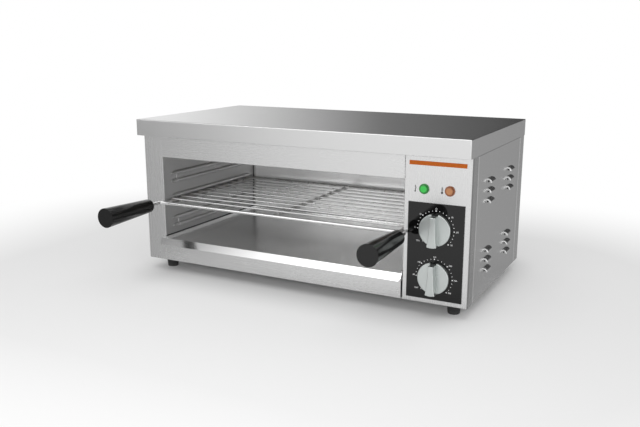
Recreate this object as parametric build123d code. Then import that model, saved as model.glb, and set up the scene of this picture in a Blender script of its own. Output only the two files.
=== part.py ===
from build123d import *
import os
from math import sqrt

# Counter-top salamander toaster, in millimetres.
# It is modelled with the body's left front bottom corner at zero: X to the right, Y to the back, Z up.
# Each piece is shifted to the object's own frame when it is saved: centred, with the feet on Z = 0.

# Body shell
body_width = 606
body_depth = 309.4
body_height = 257.2
sheet = 1.2
seam = 0.3
fold = 12.8
front_wrap = 26.1
back_wrap = 25.2
back_panel_drop = 3

# Lid
lid_skirt = 28.3
lid_overhang = 18
lid_fit = 0.4
lid_corner = 1.8
lid_edge = 1

# Chamber
liner = 1.5
chamber_left = 40
chamber_width = 462
chamber_depth = 294.3
roof_height = 215
roof_lip = 12
header_bottom = 190.3
header_gap = 0.6
lower_panel_top = 30
lower_panel_gap = 2.8
divider_fold = 14
run_gap = 0.3

# Side louvres
louvre_length = 29
louvre_rise = 6.5
louvre_wall = 1
louvre_bead = 1.9
louvre_front = 83.5
louvre_group_step = 120.5
louvre_low = 35.8
louvre_high = 147.7
louvre_step = 16
louvres_in_group = 3

# Base vents
vent_count = 5
vent_width = 4
vent_length = 60
vent_step = 14
vent_front = 70

# Crumb tray
tray_top = 41
tray_rim = 4
tray_side_gap = 1.2
tray_back_gap = 1.3
lip_drop = 10.7
lip_ahead = 9.6
lip_flat = 1
lip_wall = 1.55
lip_left_over = 9.5
lip_right_short = 1
lip_corner = 4.2
lip_clear = 0.5

# Rack
rod_radius = 3
rack_height = 108
rack_ahead = 5.5
rack_back = 285
grip_spacing = 472.2
side_rod_in = 5.2
rod_bend = 9
wire_radius = 1.5
wire_count = 10
wire_first = 15
wire_step = 27
wire_weld = 0.3
wire_over = 0.5

# Grips
grip_back = 36
grip_length = 110.2
grip_small = 11.7
grip_large = 16.5
grip_shoulder = 3.5
grip_fit = 0.05
grip_cap = 10

# Runners
rib_radius = 3.5
rib_centre = 1.5
web = 1
rib_pair = 14.5
level_step = 41.3
runner_front = 21
runner_back = 280
runner_margin = 1.5
rib_taper = 9
rib_tip = 1.6
clip_width = 1.8
clip_proud = 0.6
clip_wire = 1.1
clip_in = 0.7
clip_foot = 7
clip_sunk = 0.8
clip_first = 35.5
clip_step = 119.5

# Control face
controls_x = 553
timer_height = 117
thermostat_height = 42
plate_width = 88.5
plate_bottom = 6.7
plate_top = 157.1
plate_thick = 1
plate_hole = 19
strip_width = 88.8
strip_bottom = 213.1
strip_top = 219.6
strip_thick = 0.4

# Knobs
knob_radius = 24.75
knob_gap = 0.6
knob_disc = 5.4
knob_edge = 1
knob_recess = 21
knob_recess_deep = 2
knob_hub = 6
ridge_rise = 12
ridge_tip = 4.3
ridge_waist = 4.9
ridge_tail = 7.9
ridge_edge = 0.8
pointer_width = 10.6
pointer_depth = 3

# Shafts, timer and thermostat
shaft_radius = 3
shaft_flat = 0.8
shaft_fit = 0.05
shaft_in_knob = 11
shaft_in_body = 18
collar_radius = 4.7
collar_hole = 5
control_screw_step = 28
control_screw_radius = 1.5
control_screw_grip = 6
timer_wide = 48
timer_high = 44
timer_deep = 38
thermostat_wide = 36
thermostat_high = 46
thermostat_deep = 30
tab_wide = 6.3
tab_thick = 0.8
tab_long = 8
tab_offset = 9

# Pilot lamps
lamp_step = 40
lamp_height = 177.6
lamp_flange = 7.8
lamp_flange_thick = 1.4
lamp_dome = 6.2
lamp_dome_rise = 2.8
lamp_body = 5.9
lamp_fit = 0.1
lamp_deep = 26
lamp_tab = 3
lamp_clip = 8.5
lamp_clip_thick = 2

# Heating elements
element_radius = 4
element_height = 203
element_left = 62
element_first = 70
element_leg_step = 40
element_step = 120
element_tail = 9
element_fit = 0.3
gland_nut_width = 16
gland_nut_thick = 5
bead_radius = 3.2
bead_length = 6
pin_radius = 1.5
pin_length = 12
pin_fit = 0.05
hanger_first = 170
hanger_step = 200
hanger_drop = 19
hanger_margin = 14
hanger_flange = 8

# Thermostat bulb
bulb_radius = 3
bulb_length = 85
bulb_wall_gap = 17
bulb_y = 150
bulb_below_roof = 7
capillary_radius = 1
capillary_hole = 2
capillary_bend = 22
bulb_clip_wide = 8
bulb_clip_in = 15
bulb_clip_wall = 2

# Supply side
gland_x = 560
gland_height = 40
gland_bore = 4
gland_thread = 8
gland_fit = 0.1
gland_hex = 22
gland_flange = 6
gland_cap_radius = 9.5
gland_cap = 10
gland_cap_edge = 2
gland_inside = 9
locknut_thick = 5
block_x = 548
block_y = 245
block_wide = 44
block_deep = 20
block_high = 18
block_ways = 3
block_screw = 3
block_screw_deep = 3
earth_x = 590
earth_y = 235
earth_radius = 2.5
earth_long = 16
earth_nut = 8
earth_nut_thick = 4

# Feet and fasteners
foot_height = 20
foot_inset = 29
foot_bottom = 9.4
foot_top = 11.5
foot_edge = 1
foot_well = 5.2
foot_well_deep = 12
foot_screw_radius = 2.5
foot_screw_head = 4.6
foot_screw_head_thick = 3
foot_nut = 8
foot_nut_thick = 4
foot_clear = 8
screw_fit = 0.1
back_screw_radius = 2
back_screw_long = 8
back_screw_count = 3
back_screw_in = 60
back_screw_low = 9
back_screw_high = 241
pan_head = 1.9
pan_head_rise = 1.1
cross_long = 4
cross_wide = 1
cross_deep = 1.2
base_wall = 14

# Internal leads
lead_radius = 1.2
lead_bend = 8
lead_run = 95
lead_loop = 18
lead_far_x = 588
lead_far_drop = 150
lead_near_drop = 130
lead_slant = 50

# Places that follow from the sizes above
chamber_right = chamber_left + chamber_width
chamber_mid = chamber_left + chamber_width / 2
body_mid = body_width / 2
under_lid = body_height - sheet
lid_bottom = body_height - lid_skirt
tray_bottom = tray_top - sheet
floor_top = tray_bottom - run_gap
plate_front = -plate_thick
shaft_back = sheet + shaft_in_body
bulb_height = roof_height - bulb_below_roof
bulb_right = chamber_right - bulb_wall_gap
rod_x = chamber_left + side_rod_in
rod_seat = rib_radius + clip_proud + run_gap + rod_radius
rib_drop = sqrt(rod_seat ** 2 - (side_rod_in - rib_centre) ** 2)
grip_front = -grip_back - grip_length
gland_back = body_depth + gland_flange + gland_cap
middle_y = (grip_front + gland_back) / 2
along_x = Rot(0, 90, 0)
along_y = Rot(90, 0, 0)


def slab(x0, x1, y0, y1, z0, z1):
    """Block between two opposite corners."""
    centre = Pos((x0 + x1) / 2, (y0 + y1) / 2, (z0 + z1) / 2)
    return centre * Box(x1 - x0, y1 - y0, z1 - z0)


def rod_along_x(radius, x0, x1, y, z):
    return Pos((x0 + x1) / 2, y, z) * along_x * Cylinder(radius, x1 - x0)


def rod_along_y(radius, y0, y1, x, z):
    return Pos(x, (y0 + y1) / 2, z) * along_y * Cylinder(radius, y1 - y0)


def rod_along_z(radius, z0, z1, x, y):
    return Pos(x, y, (z0 + z1) / 2) * Cylinder(radius, z1 - z0)


def hexagon(width, length):
    """Hexagonal bar along Z, centred, measured across its flats."""
    return extrude(RegularPolygon(width / 2, 6, major_radius=False), length / 2, both=True)


def tube(radius, points, bend):
    """Round bar along straight runs joined by tangent arcs."""
    path = FilletPolyline(*points, radius=bend)
    start = Plane(origin=path @ 0, z_dir=path % 0)
    return sweep(start * Circle(radius), path=path)


def mirrored(shape, x):
    return mirror(shape, about=Plane.YZ.offset(x))


def front_plane(x, z, ahead):
    """Plane facing the user, ahead of the body's front face."""
    return Plane(origin=(x, -ahead, z), x_dir=(1, 0, 0), z_dir=(0, -1, 0))


def pan_screw(radius, length):
    """Cross-headed screw: the underside of its head at zero, the head above and the shank below."""
    head_radius = radius * pan_head
    head_rise = radius * pan_head_rise
    head = Pos(0, 0, head_rise / 2) * Cylinder(head_radius, head_rise)
    head = fillet(head.edges().filter_by(GeomType.CIRCLE).sort_by(Axis.Z)[-1], head_rise / 2)
    cross = Box(cross_long, cross_wide, cross_deep) + Box(cross_wide, cross_long, cross_deep)
    shank = Pos(0, 0, -length / 2) * Cylinder(radius, length)
    return head + shank - Pos(0, 0, head_rise) * cross


# Shell

def lid():
    """Inverted folded box that slips over the body, with a return under its front overhang."""
    x0 = -lid_fit - sheet
    x1 = body_width + lid_fit + sheet
    y0 = -lid_overhang
    y1 = body_depth - sheet
    outer = slab(x0, x1, y0, y1, lid_bottom, body_height)
    outer = fillet(outer.edges().filter_by(Axis.Z), lid_corner)
    outer = fillet(outer.faces().sort_by(Axis.Z)[-1].edges(), lid_edge)
    inner = slab(x0 + sheet, x1 - sheet, y0 + sheet, y1 - sheet, lid_bottom, under_lid)
    inner = fillet(inner.edges().filter_by(Axis.Z), lid_corner - sheet)
    left = x0 + lid_corner
    right = x1 - lid_corner
    under = slab(left, right, y0 + sheet / 2, -seam, lid_bottom, lid_bottom + sheet)
    return outer - inner + under - back_screw_holes(back_screw_high)


def left_post():
    """Front post of the chamber, folded round the left corner and back along the chamber wall."""
    right = chamber_left - liner
    face = slab(0, right, 0, sheet, 0, under_lid)
    wrap = slab(0, sheet, 0, front_wrap, 0, under_lid)
    wrap_fold = slab(sheet, sheet + fold, front_wrap - sheet, front_wrap, sheet, under_lid)
    wall_fold = slab(right - sheet, right, sheet, sheet + fold, sheet, under_lid)
    return face + wrap + wrap_fold + wall_fold


def header():
    """Strip above the chamber's mouth, with its lower edge folded in to hide the elements."""
    right = chamber_right - header_gap
    face = slab(chamber_left - liner, right, 0, sheet, header_bottom, under_lid)
    low_fold = slab(chamber_left, right, sheet, sheet + fold, header_bottom, header_bottom + sheet)
    top_fold = slab(chamber_left, right, sheet, sheet + fold, under_lid - sheet, under_lid)
    return face + low_fold + top_fold


def lower_front_panel():
    right = chamber_right - lower_panel_gap
    face = slab(chamber_left - liner, right, 0, sheet, 0, lower_panel_top)
    top_fold = slab(chamber_left, right, sheet, sheet + fold, lower_panel_top - sheet, lower_panel_top)
    return face + top_fold


def control_panel():
    """Front of the control compartment, folded round the right corner and back beside the chamber."""
    face = slab(chamber_right, body_width, 0, sheet, 0, under_lid)
    wrap = slab(body_width - sheet, body_width, 0, front_wrap, 0, under_lid)
    inside = body_width - sheet
    wrap_fold = slab(inside - fold, inside, front_wrap - sheet, front_wrap, sheet, under_lid)
    left = chamber_right
    side_fold = slab(left, left + sheet, sheet, divider_fold, sheet, under_lid)
    rear_fold = slab(left, left + fold, divider_fold - sheet, divider_fold, sheet, roof_height)
    top_fold = slab(left + sheet, inside, sheet, sheet + fold, under_lid - sheet, under_lid)
    panel = face + wrap + wrap_fold + side_fold + rear_fold + top_fold
    for height in (timer_height, thermostat_height):
        panel -= rod_along_y(collar_hole, 0, sheet, controls_x, height)
        for side in (-1, 1):
            x = controls_x + side * control_screw_step / 2
            panel -= rod_along_y(control_screw_radius + screw_fit, 0, sheet, x, height)
    for side in (-1, 1):
        x = controls_x + side * lamp_step / 2
        panel -= rod_along_y(lamp_body + lamp_fit, 0, sheet, x, lamp_height)
    return panel


def louvre(y, z):
    """Quarter-round hood on the right side panel: open below and in front, with its front edge rolled in."""
    rear = y + louvre_length
    centre = Pos(body_width, rear - louvre_rise, z)
    hollow = louvre_rise - louvre_wall
    outer = rod_along_y(louvre_rise, y, rear - louvre_rise, body_width, z) + centre * Sphere(louvre_rise)
    inner = rod_along_y(hollow, y, rear - louvre_rise, body_width, z) + centre * Sphere(hollow)
    bead = Pos(body_width, y + louvre_bead, z) * along_y * Torus(louvre_rise - louvre_bead, louvre_bead)
    hood = outer - inner + bead
    return hood & slab(body_width, body_width + louvre_rise, y, rear, z, z + louvre_rise)


def louvre_slot(y, z):
    top = z + louvre_rise - louvre_wall
    return slab(body_width - sheet, body_width, y, y + louvre_length - louvre_rise, z, top)


def right_side_panel():
    """Louvred side between the front wrap and the back wrap, with folded edges."""
    y0 = front_wrap + seam
    y1 = body_depth - back_wrap - seam
    inside = body_width - sheet
    panel = slab(inside, body_width, y0, y1, 0, under_lid)
    panel += slab(inside - fold, inside, y0, y0 + sheet, sheet, under_lid)
    panel += slab(inside - fold, inside, y1 - sheet, y1, sheet, under_lid)
    panel += slab(inside - fold, inside, y0, y1, under_lid - sheet, under_lid)
    for group in range(2):
        y = louvre_front + group * louvre_group_step
        for start in (louvre_low, louvre_high):
            for step in range(louvres_in_group):
                z = start + step * louvre_step
                panel = panel - louvre_slot(y, z) + louvre(y, z)
    return panel


def back_panel():
    """Rear sheet folded round both corners, notched at the top for the lid's rear skirt."""
    inside = body_depth - sheet
    wrap_front = body_depth - back_wrap
    panel = slab(0, body_width, inside, body_depth, 0, body_height - back_panel_drop)
    wrap = slab(0, sheet, wrap_front, inside, 0, under_lid)
    wrap += slab(sheet, sheet + fold, wrap_front, wrap_front + sheet, sheet, under_lid)
    notch_front = inside - sheet - lid_corner
    wrap -= slab(0, sheet + fold, notch_front, inside, lid_bottom - seam, under_lid)
    panel += wrap + mirrored(wrap, body_mid)
    panel -= rod_along_y(gland_thread + gland_fit, inside, body_depth, gland_x, gland_height)
    return panel - back_screw_holes(back_screw_low) - back_screw_holes(back_screw_high)


def back_screw_xs():
    reach = body_width - 2 * back_screw_in
    return [back_screw_in + reach * i / (back_screw_count - 1) for i in range(back_screw_count)]


def back_screw_holes(height):
    radius = back_screw_radius + screw_fit
    y0 = body_depth - back_screw_long
    holes = [rod_along_y(radius, y0, body_depth, x, height) for x in back_screw_xs()]
    return Compound(holes)


def back_screws():
    screws = []
    for height in (back_screw_low, back_screw_high):
        for x in back_screw_xs():
            rear = Plane(origin=(x, body_depth, height), x_dir=(-1, 0, 0), z_dir=(0, 1, 0))
            screws.append(rear * pan_screw(back_screw_radius, back_screw_long))
    return screws


def base_pan():
    """Floor of the body, with edges folded up inside the panels and vents under the controls."""
    far_x = body_width - sheet
    far_y = body_depth - sheet
    side_front = front_wrap + seam + sheet
    side_back = body_depth - back_wrap - seam - sheet
    pan = slab(sheet, far_x, sheet, far_y, 0, sheet)
    pan += slab(sheet, 2 * sheet, side_front, side_back, 0, base_wall)
    pan += slab(far_x - sheet, far_x, side_front, side_back, 0, base_wall)
    pan += slab(sheet + fold, far_x - fold, far_y - sheet, far_y, 0, base_wall)
    pan += slab(chamber_left + fold, chamber_right - fold, sheet, 2 * sheet, 0, base_wall)
    for i in range(vent_count):
        x = controls_x + (i - (vent_count - 1) / 2) * vent_step
        pan -= slab(x, x + vent_width, vent_front, vent_front + vent_length, 0, sheet)
    for x, y in foot_places():
        pan -= rod_along_z(foot_screw_radius + screw_fit, 0, sheet, x, y)
    pan -= rod_along_z(earth_radius + screw_fit, 0, sheet, earth_x, earth_y)
    return pan - back_screw_holes(back_screw_low)


# Chamber

def chamber_left_wall():
    """Left wall: its front edge shows beside the post, and it stands on the base."""
    x0 = chamber_left - liner
    wall = slab(x0, chamber_left, sheet, chamber_depth, sheet, roof_height)
    wall += slab(x0, chamber_left, 0, sheet, lower_panel_top, header_bottom)
    foot_front = foot_inset + foot_clear
    foot_back = body_depth - foot_front
    return wall + slab(x0 - fold, x0, foot_front, foot_back, sheet, sheet + liner)


def chamber_right_wall():
    """Divider to the control compartment, pierced for the elements and the capillary."""
    x1 = chamber_right + liner
    wall = slab(chamber_right, x1, divider_fold, chamber_depth, sheet, roof_height)
    wall += slab(chamber_right, x1 + fold, divider_fold, divider_fold + liner, sheet, roof_height)
    wall += slab(x1, x1 + fold, divider_fold, chamber_depth, sheet, sheet + liner)
    for y in element_legs():
        wall -= rod_along_x(element_radius + element_fit, chamber_right, x1, y, element_height)
    return wall - rod_along_x(capillary_hole, chamber_right, x1, bulb_y, bulb_height)


def chamber_back_wall():
    y1 = chamber_depth + liner
    x0 = chamber_left - liner
    x1 = chamber_right + liner
    wall = slab(x0, x1, chamber_depth, y1, sheet, roof_height)
    return wall + slab(x0, x1, y1, body_depth - 2 * sheet, sheet, sheet + liner)


def chamber_roof():
    """Reflector over the elements, with its front edge folded up behind the header."""
    x0 = chamber_left - liner
    x1 = chamber_right + liner
    right = chamber_right - header_gap
    top = roof_height + liner
    roof = slab(x0, x1, divider_fold, chamber_depth + liner, roof_height, top)
    roof += slab(chamber_left, right, sheet, divider_fold, roof_height, top)
    return roof + slab(chamber_left, right, sheet, sheet + liner, roof_height, roof_height + roof_lip)


def chamber_floor():
    """Shelf that the crumb tray slides on, folded down to the lower front panel and along the walls."""
    x0 = chamber_left
    x1 = chamber_right
    right = chamber_right - lower_panel_gap
    low = lower_panel_top
    floor = slab(x0, x1, divider_fold, chamber_depth, floor_top - liner, floor_top)
    floor += slab(x0, right, sheet, divider_fold, floor_top - liner, floor_top)
    floor += slab(x0, right, sheet, sheet + liner, low, floor_top)
    floor += slab(x0, x0 + liner, sheet, chamber_depth, low, floor_top)
    return floor + slab(x1 - liner, x1, divider_fold, chamber_depth, low, floor_top)


def rib(z):
    """Round rib pressed along the wall, fading out at both ends."""
    x = chamber_left + rib_centre
    front = runner_front + rib_taper
    back = runner_back - rib_taper
    fade_in = Cone(rib_radius, rib_tip, rib_taper)
    fade_out = Cone(rib_tip, rib_radius, rib_taper)
    bar = rod_along_y(rib_radius, front, back, x, z)
    bar += Pos(x, front - rib_taper / 2, z) * along_y * fade_in
    return bar + Pos(x, back + rib_taper / 2, z) * along_y * fade_out


def runner_clip(y, low, high):
    """Wire clip across both ribs: a stem with a foot on each, and a saddle that the rack's rod rides on."""
    x = chamber_left + rib_centre
    half = clip_width / 2
    clip = rod_along_y(rib_radius + clip_proud, y - half, y + half, x, low)
    clip += rod_along_z(clip_wire, low, high, chamber_left + clip_in, y)
    foot_x = x + rib_radius - clip_sunk
    for z in (low, high):
        clip += rod_along_y(clip_wire, y - clip_foot / 2, y + clip_foot / 2, foot_x, z)
    return clip


def runner(level):
    """One level of rack support on the left wall: two ribs on a web, with two wire clips."""
    low = rack_height - rib_drop + level * level_step
    high = low + rib_pair
    margin = rib_radius + runner_margin
    y0 = runner_front
    y1 = runner_back
    strip = slab(chamber_left, chamber_left + web, clip_first, y1 - rib_taper, low, high)
    strip += rib(low)
    strip += rib(high)
    for i in range(2):
        strip += runner_clip(clip_first + i * clip_step, low, high)
    reach = rib_centre + rib_radius + clip_proud
    return strip & slab(chamber_left, chamber_left + reach, y0, y1, low - margin, high + margin)


def runner_levels():
    """The rack's own level, and as many below and above as the tray and the element hangers leave room for."""
    margin = rib_radius + runner_margin
    low = rack_height - rib_drop - margin
    high = rack_height - rib_drop + rib_pair + margin
    below = (low - tray_top - tray_rim - run_gap) // level_step
    above = (roof_height - hanger_drop - run_gap - high) // level_step
    return range(-int(below), int(above) + 1)


def left_runners():
    return [runner(level) for level in runner_levels()]


# Moving pieces

def lip_wedge(left, right, flat, ahead, top, corner):
    """Block under a face that slopes forward from the tray's front edge, rounded at both ends."""
    low = tray_top - lip_drop
    block = slab(left, right, -ahead, -lip_clear, low, top)
    block = fillet(block.edges().filter_by(Axis.Z).group_by(Axis.Y)[0], corner)
    points = [(-lip_clear, low), (-lip_clear, top), (-flat, top), (-ahead, low)]
    profile = Plane.YZ.offset(left) * make_face(Polyline(*points, close=True))
    return block & extrude(profile, right - left)


def crumb_tray():
    """Shallow tray: a flat floor with low rims and a wide front lip that slopes down ahead of the edge."""
    x0 = chamber_left + tray_side_gap
    x1 = chamber_right - tray_side_gap
    y1 = chamber_depth - tray_back_gap
    floor = slab(x0, x1, -lip_clear, y1, tray_bottom, tray_top)
    rim_top = tray_top + tray_rim
    rims = slab(x0, x0 + sheet, 0, y1, tray_bottom, rim_top)
    rims += slab(x1 - sheet, x1, 0, y1, tray_bottom, rim_top)
    rims += slab(x0, x1, y1 - sheet, y1, tray_bottom, rim_top)
    left = chamber_left - lip_left_over
    right = chamber_right - lip_right_short
    lip = lip_wedge(left, right, lip_flat, lip_ahead, tray_top, lip_corner)
    inner_flat = lip_clear + seam
    inner_ahead = lip_ahead - lip_wall
    hollow = lip_wedge(left + sheet, right - sheet, inner_flat, inner_ahead, tray_bottom, lip_corner - sheet)
    return floor + rims + (lip - hollow)


def rack_frame():
    """Rod frame: a front bar bent forward into the grips, and a U of side and rear rods."""
    left = chamber_mid - grip_spacing / 2
    right = chamber_mid + grip_spacing / 2
    tip = grip_front + grip_cap
    front = [(left, tip, rack_height), (left, -rack_ahead, rack_height)]
    front += [(right, -rack_ahead, rack_height), (right, tip, rack_height)]
    far_rod = chamber_right - side_rod_in
    rear = [(rod_x, -rack_ahead, rack_height), (rod_x, rack_back, rack_height)]
    rear += [(far_rod, rack_back, rack_height), (far_rod, -rack_ahead, rack_height)]
    return tube(rod_radius, front, rod_bend) + tube(rod_radius, rear, rod_bend)


def rack_wires():
    """Thin cross wires welded on top of the side rods."""
    z = rack_height + rod_radius + wire_radius - wire_weld
    x0 = rod_x - wire_over
    x1 = chamber_right - side_rod_in + wire_over
    return [rod_along_x(wire_radius, x0, x1, wire_first + i * wire_step, z) for i in range(wire_count)]


def rack_middle_rod():
    return rod_along_y(rod_radius, rod_radius - rack_ahead, rack_back - rod_radius, chamber_mid, rack_height)


def grip(side):
    """Tapered grip with a rounded shoulder, pushed over the end of the rod."""
    x = chamber_mid + side * grip_spacing / 2
    body = Cone(grip_small, grip_large, grip_length, align=(Align.CENTER, Align.CENTER, Align.MIN))
    body = fillet(body.edges().filter_by(GeomType.CIRCLE).sort_by(Axis.Z)[0], grip_shoulder)
    bore_deep = grip_length - grip_cap + seam
    bore = Pos(0, 0, bore_deep / 2) * Cylinder(rod_radius + grip_fit, bore_deep)
    return front_plane(x, rack_height, grip_back) * (body - bore)


def flatted(radius, length):
    """Round bar from zero up with one flat side, as on a control shaft."""
    bar = Pos(0, 0, length / 2) * Cylinder(radius, length)
    side = radius - shaft_flat
    return bar - slab(-radius, radius, side, radius, 0, length)


def ridge():
    """Finger ridge across the knob: narrow at the pointer, flaring to the disc's edge at its tail."""
    top = knob_radius - pointer_depth
    right = ThreePointArc((ridge_tip, top), (ridge_waist, 0), (ridge_tail, -knob_radius))
    left = ThreePointArc((-ridge_tail, -knob_radius), (-ridge_waist, 0), (-ridge_tip, top))
    tail = Line((ridge_tail, -knob_radius), (-ridge_tail, -knob_radius))
    outline = make_face([right, tail, left, Line((-ridge_tip, top), (ridge_tip, top))])
    bar = extrude(Pos(0, 0, knob_disc) * outline, ridge_rise)
    bar &= Pos(0, 0, knob_disc + ridge_rise / 2) * Cylinder(knob_radius, ridge_rise)
    return fillet(bar.faces().sort_by(Axis.Z)[-1].edges(), ridge_edge)


def knob(height):
    """Control knob: a disc with a finger ridge, notched at its edge above the pointer end."""
    disc = Pos(0, 0, knob_disc / 2) * Cylinder(knob_radius, knob_disc)
    disc = fillet(disc.edges().filter_by(GeomType.CIRCLE).sort_by(Axis.Z)[-1], knob_edge)
    recess = Pos(0, 0, knob_recess_deep / 2) * Cylinder(knob_recess, knob_recess_deep)
    hub = Pos(0, 0, knob_recess_deep / 2) * Cylinder(knob_hub, knob_recess_deep)
    half = pointer_width / 2
    notch = slab(-half, half, knob_radius - pointer_depth, knob_radius, 0, knob_disc)
    socket = flatted(shaft_radius + shaft_fit, shaft_in_knob + seam)
    whole = disc - notch + ridge() - recess + hub - socket
    return front_plane(controls_x, height, plate_thick + knob_gap) * whole


def shaft(height):
    """Control shaft from inside the knob into the body behind the panel."""
    front = plate_thick + knob_gap + shaft_in_knob
    length = front + shaft_back
    plane = Plane(origin=(controls_x, shaft_back, height), x_dir=(1, 0, 0), z_dir=(0, -1, 0))
    plain = Pos(0, 0, shaft_back / 2) * Cylinder(shaft_radius, shaft_back)
    return plane * (plain + flatted(shaft_radius, length))


# Control parts

def control_body(height, wide, high, deep):
    """Switch body behind the panel, with a collar round its shaft and screw holes at its sides."""
    back = sheet + deep
    low = height - high / 2
    body = slab(controls_x - wide / 2, controls_x + wide / 2, sheet, back, low, low + high)
    body += rod_along_y(collar_radius, 0, sheet, controls_x, height)
    body -= rod_along_y(shaft_radius + shaft_fit, 0, shaft_back + seam, controls_x, height)
    for side in (-1, 1):
        x = controls_x + side * control_screw_step / 2
        body -= rod_along_y(control_screw_radius + screw_fit, sheet, sheet + control_screw_grip, x, height)
        tab_x = controls_x + side * tab_offset - tab_thick / 2
        tab_z = height - tab_wide / 2
        body += slab(tab_x, tab_x + tab_thick, back, back + tab_long, tab_z, tab_z + tab_wide)
    return body


def control_screws():
    screws = []
    for height in (timer_height, thermostat_height):
        for side in (-1, 1):
            x = controls_x + side * control_screw_step / 2
            screws.append(front_plane(x, height, 0) * pan_screw(control_screw_radius, control_screw_grip))
    return screws


def dial_plate():
    """Black scale plate stuck on the panel, cleared behind both knobs."""
    half = plate_width / 2
    plate = slab(controls_x - half, controls_x + half, plate_front, 0, plate_bottom, plate_top)
    for height in (timer_height, thermostat_height):
        plate -= rod_along_y(plate_hole, plate_front, 0, controls_x, height)
    return plate


def accent_strip():
    half = strip_width / 2
    return slab(controls_x - half, controls_x + half, -strip_thick, 0, strip_bottom, strip_top)


def lamp_x(side):
    return controls_x + side * lamp_step / 2


def lamp_lens(side):
    """Flanged lens with a low dome."""
    flange = Pos(0, 0, lamp_flange_thick / 2) * Cylinder(lamp_flange, lamp_flange_thick)
    top = lamp_flange_thick + lamp_dome_rise
    dome = Pos(0, 0, top / 2) * Cylinder(lamp_dome, top)
    dome = fillet(dome.edges().filter_by(GeomType.CIRCLE).sort_by(Axis.Z)[-1], lamp_dome_rise / 2)
    return front_plane(lamp_x(side), lamp_height, 0) * (flange + dome)


def lamp_bodies():
    bodies = []
    for side in (-1, 1):
        body = rod_along_y(lamp_body, 0, lamp_deep, lamp_x(side), lamp_height)
        for tab in (-1, 1):
            x = lamp_x(side) + tab * lamp_body / 2 - tab_thick / 2
            z = lamp_height - lamp_tab / 2
            body += slab(x, x + tab_thick, lamp_deep, lamp_deep + tab_long, z, z + lamp_tab)
        bodies.append(body)
    return bodies


def lamp_rings():
    """Push-on rings that hold the lamps from behind."""
    rings = []
    back = sheet + lamp_clip_thick
    for side in (-1, 1):
        x = lamp_x(side)
        ring = rod_along_y(lamp_clip, sheet, back, x, lamp_height)
        rings.append(ring - rod_along_y(lamp_body + lamp_fit, sheet, back, x, lamp_height))
    return rings


# Heating

def element_legs():
    """Depths of the four straight legs, front to back."""
    starts = (element_first, element_first + element_step)
    return [start + leg for start in starts for leg in (0, element_leg_step)]


def element(pair):
    """Sheathed hairpin element: two legs from the divider joined by a half turn at the left."""
    y0 = element_first + pair * element_step
    y1 = y0 + element_leg_step
    turn = element_leg_step / 2
    x0 = element_left + turn
    x1 = chamber_right + liner + element_tail
    z = element_height
    path = Line((x1, y0, z), (x0, y0, z))
    path += ThreePointArc((x0, y0, z), (element_left, y0 + turn, z), (x0, y1, z))
    path += Line((x0, y1, z), (x1, y1, z))
    return sweep(Plane(origin=(x1, y0, z), z_dir=(-1, 0, 0)) * Circle(element_radius), path=path)


def element_nuts():
    nuts = []
    x0 = chamber_right + liner
    for y in element_legs():
        centre = Pos(x0 + gland_nut_thick / 2, y, element_height)
        nut = centre * along_x * hexagon(gland_nut_width, gland_nut_thick)
        nuts.append(nut - rod_along_x(element_radius + pin_fit, x0, x0 + gland_nut_thick, y, element_height))
    return nuts


def element_beads():
    """Ceramic seals at the cold ends, each bored for its pin."""
    x0 = chamber_right + liner + element_tail
    beads = []
    for y in element_legs():
        bead = rod_along_x(bead_radius, x0, x0 + bead_length, y, element_height)
        beads.append(bead - rod_along_x(pin_radius + pin_fit, x0, x0 + bead_length, y, element_height))
    return beads


def element_pins():
    x0 = chamber_right + liner + element_tail
    x1 = x0 + bead_length + pin_length
    return [rod_along_x(pin_radius, x0, x1, y, element_height) for y in element_legs()]


def element_hangers():
    """Two pierced strips under the roof that carry the elements."""
    legs = element_legs()
    y0 = legs[0] - hanger_margin
    y1 = legs[-1] + hanger_margin
    hangers = []
    for i in range(2):
        x = hanger_first + i * hanger_step
        strip = slab(x, x + sheet, y0, y1, roof_height - hanger_drop, roof_height)
        strip += slab(x, x + hanger_flange, y0, y1, roof_height - sheet, roof_height)
        for y in legs:
            strip -= rod_along_x(element_radius + element_fit, x, x + sheet, y, element_height)
        hangers.append(strip)
    return hangers


def thermostat_bulb():
    """Sensing bulb under the roof and its capillary down to the thermostat."""
    bulb = rod_along_x(bulb_radius, bulb_right - bulb_length, bulb_right, bulb_y, bulb_height)
    back = sheet + thermostat_deep
    points = [(bulb_right, bulb_y, bulb_height), (controls_x, bulb_y, bulb_height)]
    points += [(controls_x, bulb_y, thermostat_height), (controls_x, back, thermostat_height)]
    return bulb + tube(capillary_radius, points, capillary_bend)


def bulb_clips():
    clips = []
    for x in (bulb_right - bulb_length + bulb_clip_in, bulb_right - bulb_clip_in):
        half = bulb_clip_wide / 2
        radius = bulb_radius + pin_fit
        reach = radius + bulb_clip_wall
        clip = slab(x - half, x + half, bulb_y - reach, bulb_y + reach, bulb_height, roof_height)
        clip += rod_along_x(reach, x - half, x + half, bulb_y, bulb_height)
        clips.append(clip - rod_along_x(radius, x - half, x + half, bulb_y, bulb_height))
    return clips


# Supply side

def rear_plane(y):
    """Plane facing backwards on the cable gland's axis."""
    return Plane(origin=(gland_x, y, gland_height), x_dir=(-1, 0, 0), z_dir=(0, 1, 0))


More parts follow.
